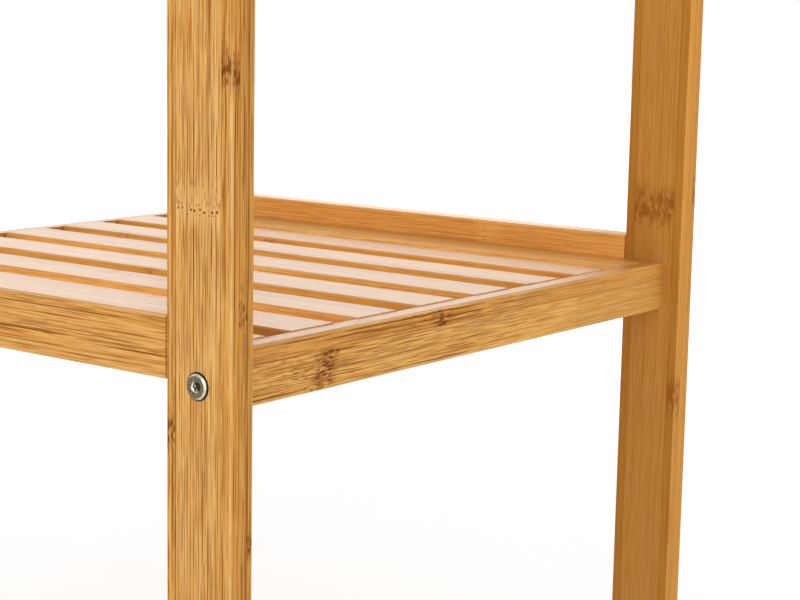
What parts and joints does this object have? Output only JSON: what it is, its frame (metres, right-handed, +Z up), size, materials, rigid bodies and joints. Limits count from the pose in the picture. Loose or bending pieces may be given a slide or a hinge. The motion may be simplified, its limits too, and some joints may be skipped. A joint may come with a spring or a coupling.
{
  "type": "towel rack",
  "caption": "Free-standing bamboo towel rack: dowelled end frames carry round towel bars at the top and a bolted slatted shelf below, standing on small glides.",
  "frame": {"origin": "on the floor, at the middle of the four feet", "axes": "+X along the shelf side rails and the towel bars, +Y along the slats from front to rear, +Z up"},
  "size_m": [0.4028, 0.4, 0.85],
  "materials": {
    "bamboo": "satin lacquer",
    "dowel_wood": "bare",
    "bolt_steel": "satin nickel",
    "zinc_steel": "zinc plated",
    "insert_brass": "turned",
    "glide_plastic": "moulded"
  },
  "bodies": {
    "root": {"leg_left_front": "bamboo", "leg_left_rear": "bamboo", "leg_right_front": "bamboo", "leg_right_rear": "bamboo", "shelf_end_rail_left": "bamboo", "shelf_end_rail_right": "bamboo", "top_end_rail_left": "bamboo", "top_end_rail_right": "bamboo", "shelf_side_rail_front": "bamboo", "shelf_side_rail_rear": "bamboo", "shelf_slat_1": "bamboo", "shelf_slat_2": "bamboo", "shelf_slat_3": "bamboo", "shelf_slat_4": "bamboo", "shelf_slat_5": "bamboo", "shelf_slat_6": "bamboo", "shelf_slat_7": "bamboo", "shelf_slat_8": "bamboo", "towel_bar_front": "bamboo", "towel_bar_middle": "bamboo", "towel_bar_rear": "bamboo", "frame_dowels_left": "dowel_wood", "frame_dowels_right": "dowel_wood", "shelf_bolts": "bolt_steel", "bar_bolts": "bolt_steel", "barrel_nuts": "zinc_steel", "slat_screws": "zinc_steel", "bar_inserts": "insert_brass", "foot_glides": "glide_plastic"}
  },
  "joints": []
}
